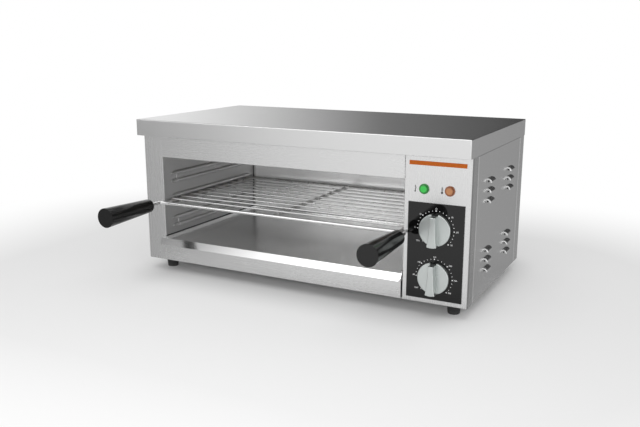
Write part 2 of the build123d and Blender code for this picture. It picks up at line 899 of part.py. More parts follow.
def cable_gland():
    """Strain relief through the back panel: hexagon flange, domed cap, thread and cord bore."""
    flange = Pos(0, 0, gland_flange / 2) * hexagon(gland_hex, gland_flange)
    cap = Pos(0, 0, gland_flange + gland_cap / 2) * Cylinder(gland_cap_radius, gland_cap)
    cap = fillet(cap.edges().filter_by(GeomType.CIRCLE).sort_by(Axis.Z)[-1], gland_cap_edge)
    inside = sheet + gland_inside
    thread = Pos(0, 0, -inside / 2) * Cylinder(gland_thread, inside)
    length = gland_flange + gland_cap + inside
    bore = Pos(0, 0, length / 2 - inside) * Cylinder(gland_bore, length)
    return rear_plane(body_depth) * (flange + cap + thread - bore)


def gland_locknut():
    nut = Pos(0, 0, -locknut_thick / 2) * hexagon(gland_hex, locknut_thick)
    nut -= Pos(0, 0, -locknut_thick / 2) * Cylinder(gland_thread + gland_fit, locknut_thick)
    return rear_plane(body_depth - sheet) * nut


def terminal_block():
    """Three-way block on the base, with a well for each lead."""
    x0 = block_x - block_wide / 2
    y0 = block_y - block_deep / 2
    top = sheet + block_high
    block = slab(x0, x0 + block_wide, y0, y0 + block_deep, sheet, top)
    for x in block_ways_x():
        block -= rod_along_z(block_screw, top - block_screw_deep, top, x, block_y)
    return block


def block_ways_x():
    step = block_wide / block_ways
    return [block_x + (i - (block_ways - 1) / 2) * step for i in range(block_ways)]


def earth_stud():
    """Earth screw through the base with its nut."""
    stud = rod_along_z(earth_radius, 0, earth_long, earth_x, earth_y)
    nut = Pos(earth_x, earth_y, sheet + earth_nut_thick / 2) * hexagon(earth_nut, earth_nut_thick)
    return stud + nut


def block_lead(pin_y, turn_x, drop, way):
    """Lead from an element pin down into one way of the terminal block."""
    pin_end = chamber_right + liner + element_tail + bead_length + pin_length
    well = sheet + block_high - block_screw_deep
    points = [(pin_end, pin_y, element_height), (turn_x, pin_y, element_height), (turn_x, block_y, drop)]
    return points + [(way, block_y, drop - lead_slant), (way, block_y, well)]


def leads():
    """Insulated leads between the block, the switches and the element pins."""
    ways = block_ways_x()
    legs = element_legs()
    front = block_y - block_deep / 2
    z = sheet + block_high / 2
    timer_back = sheet + timer_deep + tab_long
    left_tab = controls_x - tab_offset
    right_tab = controls_x + tab_offset
    thermostat_back = sheet + thermostat_deep + tab_long
    pin_end = chamber_right + liner + element_tail + bead_length + pin_length
    runs = [
        [(ways[0], front, z), (ways[0], lead_run, z), (left_tab, lead_run, timer_height),
         (left_tab, timer_back, timer_height)],
        [(right_tab, timer_back, timer_height), (right_tab, lead_run, timer_height),
         (right_tab, lead_run, thermostat_height), (right_tab, thermostat_back, thermostat_height)],
        [(pin_end, legs[1], element_height), (pin_end + lead_loop, legs[1], element_height),
         (pin_end + lead_loop, legs[2], element_height), (pin_end, legs[2], element_height)],
        block_lead(legs[0], lead_far_x, lead_far_drop, ways[2]),
        block_lead(legs[3], pin_end + 2 * lead_loop, lead_near_drop, ways[1]),
    ]
    return [tube(lead_radius, run, lead_bend) for run in runs]


# Feet

def foot_places():
    xs = (foot_inset, body_width - foot_inset)
    ys = (foot_inset, body_depth - foot_inset)
    return [(x, y) for y in ys for x in xs]


def foot(place):
    """Tapered rubber foot with a well for its screw."""
    x, y = place
    body = Cone(foot_bottom, foot_top, foot_height, align=(Align.CENTER, Align.CENTER, Align.MIN))
    body = fillet(body.edges().filter_by(GeomType.CIRCLE).sort_by(Axis.Z)[0], foot_edge)
    body -= Pos(0, 0, foot_well_deep / 2) * Cylinder(foot_well, foot_well_deep)
    body -= Pos(0, 0, foot_height / 2) * Cylinder(foot_screw_radius + screw_fit, foot_height)
    return Pos(x, y, -foot_height) * body


def foot_screws():
    screws = []
    seat = foot_well_deep - foot_height
    for x, y in foot_places():
        screw = rod_along_z(foot_screw_head, seat - foot_screw_head_thick, seat, x, y)
        screws.append(screw + rod_along_z(foot_screw_radius, seat, sheet + foot_nut_thick, x, y))
    return screws


def foot_nuts():
    nuts = []
    for x, y in foot_places():
        nut = Pos(x, y, sheet + foot_nut_thick / 2) * hexagon(foot_nut, foot_nut_thick)
        nuts.append(nut - rod_along_z(foot_screw_radius + screw_fit, sheet, sheet + foot_nut_thick, x, y))
    return nuts


def save(node, *shapes):
    """Write one node in the object's own frame."""
    solids = [solid for shape in shapes for solid in shape.solids()]
    place = Pos(-body_mid, -middle_y, foot_height)
    export_step(place * Compound(solids), f"parts/{node}.step")


os.makedirs("parts", exist_ok=True)
save("lid", lid())
save("left_post", left_post())
save("header", header())
save("lower_front_panel", lower_front_panel())
save("control_panel", control_panel())
save("right_side_panel", right_side_panel())
save("left_side_panel", mirrored(right_side_panel(), body_mid))
save("back_panel", back_panel())
save("base_pan", base_pan())
save("chamber_left_wall", chamber_left_wall())
save("chamber_right_wall", chamber_right_wall())
save("chamber_back_wall", chamber_back_wall())
save("chamber_roof", chamber_roof())
save("chamber_floor", chamber_floor())
save("left_runners", *left_runners())
save("right_runners", *[mirrored(strip, chamber_mid) for strip in left_runners()])
save("crumb_tray", crumb_tray())
save("rack_frame", rack_frame())
save("rack_wires", *rack_wires())
save("rack_middle_rod", rack_middle_rod())
save("left_grip", grip(-1))
save("right_grip", grip(1))
save("timer_knob", knob(timer_height))
save("thermostat_knob", knob(thermostat_height))
save("timer_shaft", shaft(timer_height))
save("thermostat_shaft", shaft(thermostat_height))
save("timer_body", control_body(timer_height, timer_wide, timer_high, timer_deep))
save("thermostat_body", control_body(thermostat_height, thermostat_wide, thermostat_high, thermostat_deep))
save("control_screws", *control_screws())
save("dial_plate", dial_plate())
save("accent_strip", accent_strip())
save("green_lens", lamp_lens(-1))
save("amber_lens", lamp_lens(1))
save("lamp_bodies", *lamp_bodies())
save("lamp_rings", *lamp_rings())
save("front_element", element(0))
save("rear_element", element(1))
save("element_nuts", *element_nuts())
save("element_beads", *element_beads())
save("element_pins", *element_pins())
save("element_hangers", *element_hangers())
save("thermostat_bulb", thermostat_bulb())
save("bulb_clips", *bulb_clips())
save("cable_gland", cable_gland())
save("gland_locknut", gland_locknut())
save("terminal_block", terminal_block())
save("earth_stud", earth_stud())
save("leads", *leads())
for name, place in zip(("front_left", "front_right", "rear_left", "rear_right"), foot_places()):
    save(f"{name}_foot", foot(place))
save("foot_screws", *foot_screws())
save("foot_nuts", *foot_nuts())
save("back_screws", *back_screws())
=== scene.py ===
from math import pi, radians

import bpy
import numpy as np
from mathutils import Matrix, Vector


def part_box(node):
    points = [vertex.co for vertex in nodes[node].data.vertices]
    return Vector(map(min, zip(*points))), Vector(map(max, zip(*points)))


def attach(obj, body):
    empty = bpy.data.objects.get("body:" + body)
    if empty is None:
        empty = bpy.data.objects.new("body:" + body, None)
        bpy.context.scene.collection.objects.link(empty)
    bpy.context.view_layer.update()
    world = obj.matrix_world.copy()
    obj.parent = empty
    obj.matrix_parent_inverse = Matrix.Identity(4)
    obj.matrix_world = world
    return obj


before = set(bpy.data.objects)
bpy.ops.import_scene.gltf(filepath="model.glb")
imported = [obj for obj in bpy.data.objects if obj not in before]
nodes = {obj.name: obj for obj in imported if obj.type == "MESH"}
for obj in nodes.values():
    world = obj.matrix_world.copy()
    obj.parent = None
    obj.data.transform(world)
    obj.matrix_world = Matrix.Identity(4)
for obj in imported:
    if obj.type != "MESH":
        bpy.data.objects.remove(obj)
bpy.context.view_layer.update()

# Base pan
# Shallow tray of stainless sheet that everything stands on, vented under the controls.
# Its low edges are folded up inside the panels and screwed to the back panel.


class Signal:
    """A value on its way through a material. Arithmetic on it adds Math nodes; node() adds any other."""

    def __init__(self, tree, socket):
        self.tree, self.socket = tree, socket

    def node(self, kind, settings=None, sockets=None, out=0):
        """A node of any kind: its settings first, then a value or a signal for each socket named."""
        made = self.tree.nodes.new(kind)
        for name, value in (settings or {}).items():
            if name == "stops":
                ramp = made.color_ramp.elements
                while len(ramp) < len(value):
                    ramp.new(1.0)
                for stop, (position, tone) in zip(ramp, value):
                    stop.position, stop.color = position, (tone, tone, tone, 1)
            else:
                setattr(made, name, value)
        for name, value in (sockets or {}).items():
            if isinstance(value, Signal):
                self.tree.links.new(value.socket, made.inputs[name])
            else:
                made.inputs[name].default_value = value
        return Signal(self.tree, made.outputs[out])

    def maths(self, operation, first, second=0.0):
        return self.node("ShaderNodeMath", {"operation": operation}, {0: first, 1: second})

    def __add__(self, other):
        return self.maths("ADD", self, other)

    __radd__ = __add__

    def __sub__(self, other):
        return self.maths("SUBTRACT", self, other)

    def __rsub__(self, other):
        return self.maths("SUBTRACT", other, self)

    def __mul__(self, other):
        return self.maths("MULTIPLY", self, other)

    __rmul__ = __mul__

    def __truediv__(self, other):
        return self.maths("DIVIDE", self, other)

    def __rtruediv__(self, other):
        return self.maths("DIVIDE", other, self)

    def __pow__(self, other):
        return self.maths("POWER", self, other)

    def __rpow__(self, other):
        return self.maths("POWER", other, self)

    def __abs__(self):
        return self.maths("ABSOLUTE", self)

    def at_most(self, limit):
        return self.maths("MINIMUM", self, limit)

    def at_least(self, limit):
        return self.maths("MAXIMUM", self, limit)

    def part(self, axis):
        """One coordinate of a place."""
        return self.node("ShaderNodeSeparateXYZ", {}, {0: self}, axis)

    def drawn(self, x, y, z):
        """A place with its coordinates multiplied, which draws a pattern out along the small ones."""
        return self.node("ShaderNodeVectorMath", {"operation": "MULTIPLY"}, {0: self, 1: (x, y, z)})

    def noise(self, scale, detail=2.0):
        """Soft noise between 0 and 1 about 0.5, with so many lumps to the metre."""
        return self.node("ShaderNodeTexNoise", {}, {"Vector": self, "Scale": scale, "Detail": detail})

    def swing(self, width):
        """A value about 0.5 as one about 0, so many times as wide."""
        return (self - 0.5) * width

    def rise(self, start, end):
        """Smooth step from 0 at start to 1 at end."""
        sockets = {"Value": self, "From Min": start, "From Max": end}
        return self.node("ShaderNodeMapRange", {"interpolation_type": "SMOOTHSTEP"}, sockets)

    def fall(self, start, end):
        """Smooth step from 1 at start to 0 at end."""
        return 1 - self.rise(start, end)

    def hump(self, start, full, fading, end):
        """1 from full to fading, with smooth steps from 0 at start and back to 0 at end."""
        return self.rise(start, full) * self.fall(fading, end)

    def tint(self, first, second):
        """Colour between two, by this share of the second."""
        return self.node("ShaderNodeMix", {"data_type": "RGBA"}, {0: self, 6: first, 7: second}, 2)

    def relief(self, depth, strength, edge=0.0):
        """Surface direction of this height map, depth metres high, over edges softened by so many metres."""
        sockets = {"Height": self, "Distance": depth, "Strength": strength}
        if edge:
            sockets["Normal"] = self.node("ShaderNodeBevel", {"samples": 4}, {"Radius": edge})
        return self.node("ShaderNodeBump", {}, sockets)


def colour(red, green, blue):
    return (red, green, blue, 1.0)


def grey(tone):
    return colour(tone, tone, tone)


def new_finish(name, sockets):
    """A material whose shader has these constant sockets, its shader, and the place on the object."""
    made = bpy.data.materials.new(name)
    made.use_nodes = True
    shader = made.node_tree.nodes["Principled BSDF"]
    for socket, value in sockets.items():
        shader.inputs[socket].default_value = value
    place = made.node_tree.nodes.new("ShaderNodeTexCoord").outputs["Object"]
    return made, shader, Signal(made.node_tree, place)


def feed(shader, signals):
    """Leads each signal into the shader's socket of that name."""
    for socket, signal in signals.items():
        signal.tree.links.new(signal.socket, shader.inputs[socket])


def dress(finish, *names):
    """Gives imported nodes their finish."""
    for name in names:
        for slot in nodes[name].material_slots:
            slot.material = finish


def brush_marks(place, along, across_scale, along_scale, detail=2.0):
    """Noise drawn out along one axis: so many marks to the metre across it, and few along it."""
    scales = [across_scale] * 3
    scales[along] = along_scale
    return place.drawn(*scales).noise(1.0, detail)


def hairlines(place, along):
    """The fine grain that a brushing belt leaves."""
    return brush_marks(place, along, 1400.0, 10.0)


def handling(place):
    """Broad faint clouds that hands and cloths leave."""
    return place.noise(8.0, detail=3.0)


def brushed_steel(name, along, gloss):
    """Stainless sheet brushed one way: fine grain over broader streaks, under cloudy handling marks."""
    finish, shader, place = new_finish(name, {"Metallic": 1.0})
    grain, streak = hairlines(place, along), brush_marks(place, along, 240.0, 4.0, detail=3.0)
    shade = 0.5 + grain.swing(0.4) + streak.swing(0.3)
    feed(shader, {
        "Base Color": shade.tint(grey(0.6755), grey(0.7245)),
        "Roughness": gloss + grain.swing(0.03) + handling(place).swing(0.04),
        "Normal": (grain * 0.6 + streak * 0.4).relief(depth=0.0002, strength=0.008, edge=0.0012),
    })
    return finish


across_body, up_body = 0, 2
panel_gloss, lid_gloss = 0.27, 0.24
brushed_across = brushed_steel("brushed_across", across_body, panel_gloss)
dress(brushed_across, "base_pan")

# Grill chamber
# Five sheets of plain rolled stainless round the grilling space, with three levels of pressed runners.
# Satin from the mill and straw-coloured under the roof, with painted shade darkening the left wall and a
# painted shadow in the gaps between sheets.

chamber, chamber_shader, place = new_finish("chamber_steel", {})
back_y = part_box("chamber_back_wall")[0].y
left_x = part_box("left_runners")[0].x
tray_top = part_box("crumb_tray")[1].z
heat_low, heat_high = 0.18, 0.25
corner_gap, rim_gap, soft = 0.0008, 0.0010, 0.0004
straw, dulled, gap_black = colour(0.6, 0.53, 0.42), grey(0.36), grey(0.03)
cloud = place.noise(9.0, detail=4.0)
pickle = place.noise(320.0, detail=3.0)
heat = place.part(2).rise(heat_low, heat_high) * (0.3 + cloud * 0.7)
# Painted shadow: nearly black lines in the back corner of the left wall and just above the crumb tray, where
# the gaps between sheets lie in shade.
corner = place.part(0).fall(left_x + corner_gap, left_x + 2 * corner_gap)
corner = corner * place.part(1).rise(back_y - 2 * corner_gap, back_y - corner_gap)
beside_tray = place.part(2).hump(tray_top - soft, tray_top, tray_top + rim_gap, tray_top + rim_gap + soft)
gaps = (corner + beside_tray).at_most(1.0)
# Painted shade: the left wall's colour is darkened towards grey, standing in for the shade that falls on it.
left_side = place.part(0).fall(left_x + 0.002, left_x + 0.009)
on_back = place.part(1).rise(back_y - 0.002, back_y - 0.001)
sheet_tone = (0.5 + cloud.swing(0.8) + pickle.swing(0.3)).tint(grey(0.88), grey(0.96))
tarnished = (heat * 0.5).tint(sheet_tone, straw)
feed(chamber_shader, {
    "Base Color": gaps.tint((left_side * 0.8).tint(tarnished, dulled), gap_black),
    "Metallic": 0.75 - on_back * 0.2,
    "Roughness": 0.32 + cloud.swing(0.1) + pickle.swing(0.05),
    "Normal": pickle.relief(depth=0.00002, strength=0.1),
})
dress(chamber, "chamber_left_wall", "chamber_right_wall", "chamber_back_wall", "chamber_roof",
      "chamber_floor", "left_runners", "right_runners", "element_hangers", "bulb_clips")

# Heating elements
# Two hairpins of sheathed wire under the roof, hung in pierced strips and nutted through the divider.
# The sheaths are oxidised dark, brass nuts hold them, and ceramic beads seal their cold ends.

sheath, sheath_shader, place = new_finish("element_sheath", {"Metallic": 0.8})
cold_start, cold_end = 0.13, 0.21
scale = place.noise(420.0, detail=4.0)
cold = place.part(0).rise(cold_start, cold_end)
oxide = scale.tint(colour(0.045, 0.040, 0.036), colour(0.13, 0.115, 0.10))
feed(sheath_shader, {
    "Base Color": cold.tint(oxide, grey(0.32)),
    "Roughness": 0.62 - cold * 0.2 + scale.swing(0.2),
    "Normal": scale.relief(depth=0.0002, strength=0.3),
})
dress(sheath, "front_element", "rear_element")


def turned_metal(name, low, high, gloss):
    """Small turned or plated metal: fine speckle in its gloss and skin, over two shades in soft clouds."""
    finish, shader, place = new_finish(name, {"Metallic": 1.0})
    speckle = place.noise(900.0, detail=3.0)
    handled = place.noise(60.0)
    feed(shader, {
        "Base Color": handled.tint(low, high),
        "Roughness": gloss + speckle.swing(0.2) + handled.swing(0.1),
        "Normal": speckle.relief(depth=0.0001, strength=0.1),
    })
    return finish


brass = turned_metal("brass", colour(0.55, 0.39, 0.17), colour(0.78, 0.60, 0.30), gloss=0.3)
zinc = turned_metal("zinc_plate", colour(0.50, 0.51, 0.52), colour(0.72, 0.72, 0.72), gloss=0.28)
dress(brass, "element_nuts", "earth_stud")
dress(zinc, "element_pins", "lamp_rings", "control_screws", "foot_screws", "foot_nuts", "back_screws")

ceramic, ceramic_shader, place = new_finish("bead_ceramic", {"Roughness": 0.7})
pores = place.noise(1100.0)
feed(ceramic_shader, {
    "Base Color": pores.tint(colour(0.62, 0.58, 0.50), colour(0.84, 0.81, 0.74)),
    "Normal": pores.relief(depth=0.0001, strength=0.3),
})
dress(ceramic, "element_beads")

# Thermostat bulb
# Copper sensing bulb clipped under the roof, with its thin capillary led down to the thermostat.
# Drawn tube, in the uneven browns that copper takes near heat.

copper = turned_metal("drawn_copper", colour(0.42, 0.20, 0.11), colour(0.72, 0.40, 0.27), gloss=0.34)
dress(copper, "thermostat_bulb")

# Timer, thermostat and lamp bodies
# Closed switch housings screwed behind the control panel, with push-on lamp bodies above them.
# Plain dark moulded plastic.


def moulded(name, low, high, gloss, lumps):
    """Moulded plastic: two close colours in soft clouds, under a fine skin of so many lumps to the metre."""
    finish, shader, place = new_finish(name, {})
    cloud = place.noise(40.0, detail=3.0)
    skin = place.noise(lumps)
    feed(shader, {
        "Base Color": cloud.tint(low, high),
        "Roughness": gloss + cloud.swing(0.14) + skin.swing(0.12),
        "Normal": skin.relief(depth=0.0001, strength=0.25),
    })
    return finish


switch_plastic = moulded("switch_plastic", grey(0.016), grey(0.032), gloss=0.42, lumps=900.0)
dress(switch_plastic, "timer_body", "thermostat_body", "lamp_bodies")

# Supply side
# Cable gland through the back panel, its locknut, the three-way block, the earth stud and the inner leads.
# Nylon gland, pale block, and leads in woven glass sleeving.

gland_nylon = moulded("gland_nylon", grey(0.02), grey(0.04), gloss=0.38, lumps=700.0)
dress(gland_nylon, "cable_gland", "gland_locknut")
block_dark, block_light = colour(0.55, 0.54, 0.49), colour(0.72, 0.70, 0.64)
block_plastic = moulded("block_plastic", block_dark, block_light, gloss=0.5, lumps=800.0)
dress(block_plastic, "terminal_block")

sleeving, sleeving_shader, place = new_finish("glass_sleeving", {"Roughness": 0.75})
weave = place.node("ShaderNodeTexVoronoi", {}, {"Vector": place, "Scale": 1300.0})
feed(sleeving_shader, {
    "Base Color": weave.tint(colour(0.70, 0.68, 0.62), colour(0.34, 0.33, 0.30)),
    "Normal": weave.relief(depth=0.0003, strength=0.5),
})
dress(sleeving, "leads")

# Front sheets
# Left post, header, lower front panel and control panel, each folded from brushed stainless.
# They butt with hairline seams. The control panel wraps round the corner, with painted shade darkening it past
# its bend.

brushed_upright = brushed_steel("brushed_upright", up_body, panel_gloss)
dress(brushed_across, "header", "lower_front_panel")
dress(brushed_upright, "left_post")


def upright_sheet(name, gloss, edge):
    """Sheet brushed upright without streaks, its shader, the place on it, and its colour, not yet led in."""
    finish, shader, place = new_finish(name, {"Metallic": 1.0})
    grain = hairlines(place, up_body)
    feed(shader, {
        "Roughness": gloss + grain.swing(0.03) + handling(place).swing(0.04),
        "Normal": grain.relief(depth=0.0002, strength=0.006, edge=edge),
    })
    return finish, shader, place, (0.5 + grain.swing(0.4)).tint(grey(0.675), grey(0.725))


bent, bent_shader, place, plain = upright_sheet("bent_upright", panel_gloss, 0.0012)
front_y, flange_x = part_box("control_panel")[0].y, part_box("control_panel")[1].x
wrap_start, wrap_end = 0.0009, 0.0006
bend_start, bend_end = 0.002, 0.008
# Painted shade: the wrap flange is darkened towards dark grey, most just past the bend.
flange = place.part(0).rise(flange_x - wrap_start, flange_x - wrap_end)
bend = flange * (0.25 + 0.35 * place.part(1).fall(front_y + bend_start, front_y + bend_end))
feed(bent_shader, {"Base Color": bend.tint(plain, grey(0.12))})
dress(bent, "control_panel")

# Side and back panels
# Two louvred sides between the front and back wraps, and the back sheet with its six cross-headed screws.
# The sides are brushed upright, with a painted highlight on their rolled edges and a painted shadow in the gap
# under the lid.

side_sheet, side_shader, place, plain = upright_sheet("side_sheet", 0.17, 0.0)
side_front, side_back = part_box("right_side_panel")[0].y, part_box("right_side_panel")[1].y
lid_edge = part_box("lid")[0].z
roll_inner, roll_outer = 0.005, 0.0042
# Painted highlight: the bands along the sides' front and back rolled edges are lightened to near white.
rolled = place.part(1).fall(side_front + roll_outer, side_front + roll_inner) + place.part(1).rise(
    side_back - roll_inner, side_back - roll_outer)
# Painted shadow: a dark band along the top of each side, just under the lid's edge.
under_lid = place.part(2).rise(lid_edge - 0.0024, lid_edge - 0.001)
feed(side_shader, {"Base Color": (under_lid * 0.7).tint(rolled.tint(plain, grey(0.98)), grey(0.05))})
dress(side_sheet, "left_side_panel", "right_side_panel")
dress(brushed_across, "back_panel")

# Feet
# Four tapered rubber feet, each bored for the screw that holds it under the base.
# Matt black rubber, dusty towards the worktop.

rubber, rubber_shader, place = new_finish("foot_rubber", {})
dust_height = 0.008
skin = place.noise(600.0, detail=3.0)
dust = place.part(2).fall(0.0, dust_height) * skin
feed(rubber_shader, {
    "Base Color": dust.tint(grey(0.012), grey(0.05)),
    "Roughness": 0.6 + skin.swing(0.3),
    "Normal": skin.relief(depth=0.0002, strength=0.3),
})
dress(rubber, "front_left_foot", "front_right_foot", "rear_left_foot", "rear_right_foot")

# Dial plate and strip
# Glossy charcoal scale plate stuck on the panel behind both knobs, and the thin orange strip above.
# The white scales are printed: a large dot and a figure at each eighth of a turn, with small dots between.

plate, plate_shader, place = new_finish("dial_plate", {"IOR": 1.44})
orange_peel = place.noise(350.0)
feed(plate_shader, {
    "Base Color": orange_peel.tint(grey(0.002), grey(0.004)),
    "Roughness": 0.01 + orange_peel * 0.04,
    "Normal": orange_peel.relief(depth=0.00005, strength=0.05),
})
dress(plate, "dial_plate")

strip, strip_shader, place = new_finish("orange_strip", {"Specular IOR Level": 0.15})
fleck = place.noise(500.0, detail=3.0)
feed(strip_shader, {
    "Base Color": fleck.tint(colour(0.36, 0.075, 0.005), colour(0.46, 0.11, 0.01)),
    "Roughness": 0.4 + fleck.swing(0.2),
})
dress(strip, "accent_strip")


def ink_finish(name, low, high):
    """Matt screen ink, uneven in its cover."""
    finish, shader, place = new_finish(name, {"Roughness": 0.5})
    feed(shader, {"Base Color": place.noise(1500.0).tint(low, high)})
    return finish


def new_piece(name, points, faces, finish):
    """A piece of corner points and faces, with its finish."""
    mesh = bpy.data.meshes.new(name)
    mesh.from_pydata(points.tolist(), [], [list(face) for face in faces])
    mesh.materials.append(finish)
    piece = bpy.data.objects.new(name, mesh)
    bpy.context.collection.objects.link(piece)
    return piece


def letters(text, size):
    """Outline of a short label as points across and up, centred, with its faces."""
    curve = bpy.data.curves.new(text, "FONT")
    curve.body, curve.size = text, size
    curve.align_x, curve.align_y = "CENTER", "CENTER"
    label = bpy.data.objects.new(text, curve)
    bpy.context.collection.objects.link(label)
    bpy.context.view_layer.update()
    mesh = bpy.data.meshes.new_from_object(label.evaluated_get(bpy.context.evaluated_depsgraph_get()))
    flat = np.array([corner.co[:2] for corner in mesh.vertices])
    faces = [tuple(face.vertices) for face in mesh.polygons]
    bpy.data.objects.remove(label)
    return flat, faces


def printed(name, prints, across, up, sheet_y, finish):
    """Flat prints on a sheet, joined in one thin piece: each is points across and up with its faces."""
    lift, film_thickness = 0.00001, 0.00004
    points, faces, count = [], [], 0
    for flat, its_faces in prints:
        points.append(np.stack([across + flat[:, 0], np.full(len(flat), sheet_y - lift), up + flat[:, 1]], 1))
        faces += [[corner + count for corner in face] for face in its_faces]
        count += len(flat)
    piece = new_piece(name, np.concatenate(points), faces, finish)
    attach(piece, "body")
    film = piece.modifiers.new("film", "SOLIDIFY")
    film.thickness, film.offset = film_thickness, -1.0


def dots(centres, radius, sides=12):
    """Round dots: each ring of corners is a circle about its centre."""
    turn = np.linspace(0, 2 * pi, sides, endpoint=False)
    ring = radius * np.stack([np.cos(turn), np.sin(turn)], 1)
    flat = (np.asarray(centres)[:, None] + ring[None]).reshape(-1, 2)
    return flat, np.arange(len(flat)).reshape(-1, sides)


def bars(centres, directions, length, width):
    """Small bars: each a rectangle along its direction about its centre."""
    ahead = np.asarray(directions) * length / 2
    aside = np.stack([-ahead[:, 1], ahead[:, 0]], 1) * width / length
    corners = [-ahead - aside, ahead - aside, ahead + aside, aside - ahead]
    flat = (np.asarray(centres)[:, None] + np.stack(corners, 1)).reshape(-1, 2)
    return flat, np.arange(len(flat)).reshape(-1, 4)


def around(radius, degrees):
    """Points on a circle, turned clockwise from the top."""
    turn = np.radians(degrees)
    return radius * np.stack([np.sin(turn), np.cos(turn)], -1)


def scale_prints(figures, places):
    """One dial's prints: a dash at the start, a tick at the left, large dots at figures and small between."""
    start, left, end, figure_step, dot_step = -135, -90, 135, 45, 11.25
    dot_ring, large_dot, small_dot, figure_size = 0.029, 0.00095, 0.0006, 0.0034
    stops = np.arange(left + figure_step, end + 1, figure_step)
    between = np.array([turn for turn in np.arange(left, end, dot_step) if turn % figure_step])
    prints = [dots(around(dot_ring, stops), large_dot), dots(around(dot_ring, between), small_dot)]
    for turn, ring, length, width in ((left, 0.0283, 0.0022, 0.0009), (start, 0.0282, 0.0016, 0.0007)):
        prints.append(bars(around(ring, [turn]), around(1.0, [turn]), length, width))
    for figure, middle in zip(figures, places):
        flat, faces = letters(figure, figure_size)
        prints.append((flat + np.array(middle), faces))
    return prints


white_ink = ink_finish("white_ink", grey(0.62), grey(0.88))
dial_low, dial_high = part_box("dial_plate")
dial_x = (dial_low.x + dial_high.x) / 2
dials = {
    "timer_scale": ("timer_shaft", ("ON", "5", "10", "15", "20", "25", "30")),
    "thermostat_scale": ("thermostat_shaft", ("OFF", "50", "100", "150", "200", "250", "300")),
}
figure_places = [(-0.0275, -0.0197), (-0.0325, 0.0007), (-0.0245, 0.0217), (0.0, 0.0323), (0.0252, 0.0218),
                 (0.0338, 0.0), (0.0255, -0.0208)]
for name, (shaft, figures) in dials.items():
    height = sum(corner.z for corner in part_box(shaft)) / 2
    printed(name, scale_prints(figures, figure_places), dial_x, height, dial_low.y, white_ink)

# Pilot lamps and their signs
# Two flanged plastic lenses pressed through the panel, green for power and amber for heating.
# A zigzag and a thermometer are printed to their left.


def lens_finish(name, node, heart, rim, glow):
    """Clear coloured lens over a small lamp: bright in the middle, deeper towards the flange."""
    sockets = {"Roughness": 0.18, "Coat Weight": 0.5, "Emission Strength": glow}
    finish, shader, place = new_finish(name, sockets)
    low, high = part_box(node)
    flange_radius, heart_radius = 0.0062, 0.0035
    middle = ((low.x + high.x) / 2, low.y, (low.z + high.z) / 2)
    off = place.node("ShaderNodeVectorMath", {"operation": "DISTANCE"}, {0: place, 1: middle}, 1)
    ridges = place.noise(700.0)
    lit = off.rise(flange_radius, heart_radius) * (0.85 + ridges * 0.3)
    lens_colour = lit.tint(rim, heart)
    feed(shader, {
        "Base Color": lens_colour,
        "Emission Color": lens_colour,
        "Normal": ridges.relief(depth=0.0001, strength=0.15),
    })
    dress(finish, node)


lens_finish("green_lens", "green_lens", colour(0.012, 0.40, 0.04), colour(0.004, 0.16, 0.016), glow=0.1)
lens_finish("amber_lens", "amber_lens", colour(0.36, 0.15, 0.05), colour(0.20, 0.06, 0.016), glow=0.06)
dark_ink = ink_finish("dark_ink", grey(0.02), grey(0.06))


def sign(name, lamp, prints):
    """A dark print on the panel to the left of a lamp."""
    low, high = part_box(lamp)
    printed(name, prints, (low.x + high.x) / 2, (low.z + high.z) / 2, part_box("control_panel")[0].y, dark_ink)


def stroke(points, width):
    """A broken line: one bar for each run between points."""
    points = np.asarray(points, float)
    run = points[1:] - points[:-1]
    length = np.linalg.norm(run, axis=1, keepdims=True)
    aside = np.stack([-run[:, 1], run[:, 0]], 1) / length * width / 2
    corners = [points[:-1] - aside, points[1:] - aside, points[1:] + aside, points[:-1] + aside]
    return np.stack(corners, 1).reshape(-1, 2), np.arange(4 * len(run)).reshape(-1, 4)


zigzag = [(-0.0136, 0.0048), (-0.0146, 0.0022), (-0.0128, 0.0016), (-0.0146, -0.0014), (-0.0134, -0.0018),
          (-0.0146, -0.0052)]
barb = [(-0.0154, -0.0036), (-0.0146, -0.0054), (-0.0132, -0.0042)]
sign("power_sign", "green_lens", [stroke(zigzag, width=0.0011), stroke(barb, width=0.0009)])

tube_x, tube_low, tube_top, tube_width = -0.0123, -0.0026, 0.0048, 0.0016
bulb_up, bulb_radius = -0.0036, 0.0018
mark_left, mark_right, mark_width, mark_heights = -0.0108, -0.0098, 0.0005, (0.0040, 0.0022, 0.0004)
thermometer = [stroke([(tube_x, tube_low), (tube_x, tube_top)], tube_width)]
thermometer.append(dots([(tube_x, bulb_up)], bulb_radius, sides=20))
thermometer += [stroke([(mark_left, up), (mark_right, up)], mark_width) for up in mark_heights]
sign("heat_sign", "amber_lens", thermometer)

# Lid
# One inverted folded box that slips over the body and is screwed at the back, with its edges lightly rounded.
# Brushed from side to side, polished a little brighter than the panels.

lid_sheet = brushed_steel("lid_sheet", across_body, lid_gloss)
dress(lid_sheet, "lid")

# Crumb tray
# Shallow folded tray with low rims that slides out over the chamber floor.
# Its inside is brushed and faintly stained, and the wide lip that slopes down in front is polished bright.

tray, tray_shader, place = new_finish("tray_steel", {})
tray_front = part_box("crumb_tray")[0].y
lip_depth, lip_end, rim_start, rim_end = 0.009, 0.0096, 0.0006, 0.0003
inside = place.part(1).rise(tray_front + lip_depth, tray_front + lip_end)
